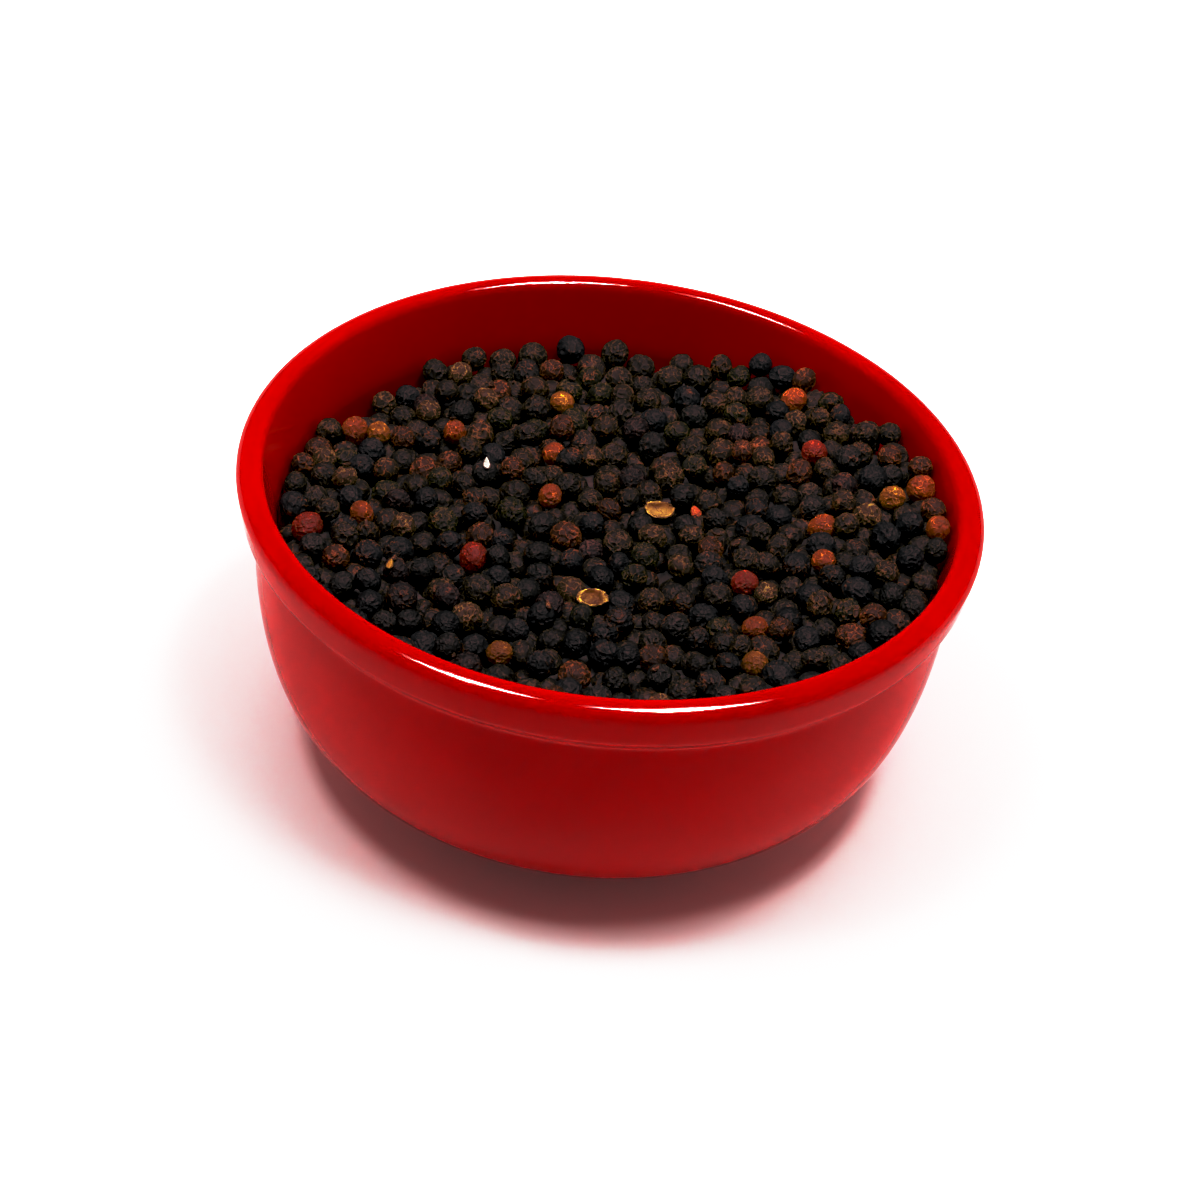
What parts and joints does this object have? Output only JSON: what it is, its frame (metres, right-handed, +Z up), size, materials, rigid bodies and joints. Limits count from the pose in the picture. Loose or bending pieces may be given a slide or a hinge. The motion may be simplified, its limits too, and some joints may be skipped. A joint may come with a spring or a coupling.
{
  "type": "bowl of black peppercorns",
  "caption": "Round glazed ceramic bowl with a banded rim and foot ring, filled nearly to the rim with loose black peppercorns.",
  "frame": {"origin": "centre of the bowl's foot, on the surface it stands on", "axes": "+Z up out of the bowl; +X to the right and +Y away from the viewer as pictured"},
  "size_m": [0.12, 0.12, 0.0525],
  "materials": {
    "red_glaze": "gloss",
    "peppercorn_skin": "matte"
  },
  "bodies": {
    "root": {"bowl": "red_glaze", "peppercorns": "peppercorn_skin"}
  },
  "joints": []
}
